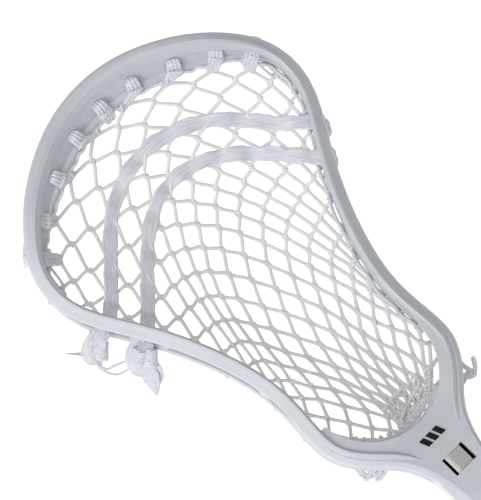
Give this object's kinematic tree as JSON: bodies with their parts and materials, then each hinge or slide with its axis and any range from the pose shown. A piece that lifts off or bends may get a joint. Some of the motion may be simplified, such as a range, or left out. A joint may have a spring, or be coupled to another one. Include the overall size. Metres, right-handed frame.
{
  "type": "lacrosse stick",
  "caption": "Field lacrosse stick: moulded head strung with a mesh pocket and shooting laces, on a hollow eight-sided shaft with a rubber end cap.",
  "frame": {"origin": "centre of the flat butt face of the end cap, on the shaft's axis", "axes": "+X along the shaft towards the scoop, +Z out of the open face of the head, +Y to the left seen from behind the butt with the face up"},
  "size_m": [1.0343, 0.1958, 0.0798],
  "materials": {
    "head_plastic": "satin moulded nylon",
    "foam": "soft foam",
    "mesh_fabric": "woven nylon mesh",
    "string_nylon": "braided nylon",
    "lace_fabric": "flat woven lace",
    "badge_ink": "printed mark",
    "screw_steel": "zinc plated",
    "shaft_alloy": "satin anodised",
    "cap_rubber": "matt"
  },
  "bodies": {
    "stick": {"head_frame": "head_plastic", "ball_stop": "foam", "mesh_pocket": "mesh_fabric", "top_string": "string_nylon", "sidewall_string_left": "string_nylon", "sidewall_string_right": "string_nylon", "bottom_string": "string_nylon", "shooting_lace_upper": "lace_fabric", "shooting_lace_lower": "lace_fabric", "lace_knot_upper": "lace_fabric", "lace_knot_lower": "lace_fabric", "throat_badge": "badge_ink", "head_screw": "screw_steel", "shaft": "shaft_alloy"},
    "cap": {"end_cap": "cap_rubber"}
  },
  "joints": [
    {"name": "cap_pull", "type": "slide", "parent": "stick", "child": "cap", "axis": [-1, 0, 0], "range_m": [0, 0.036]}
  ]
}
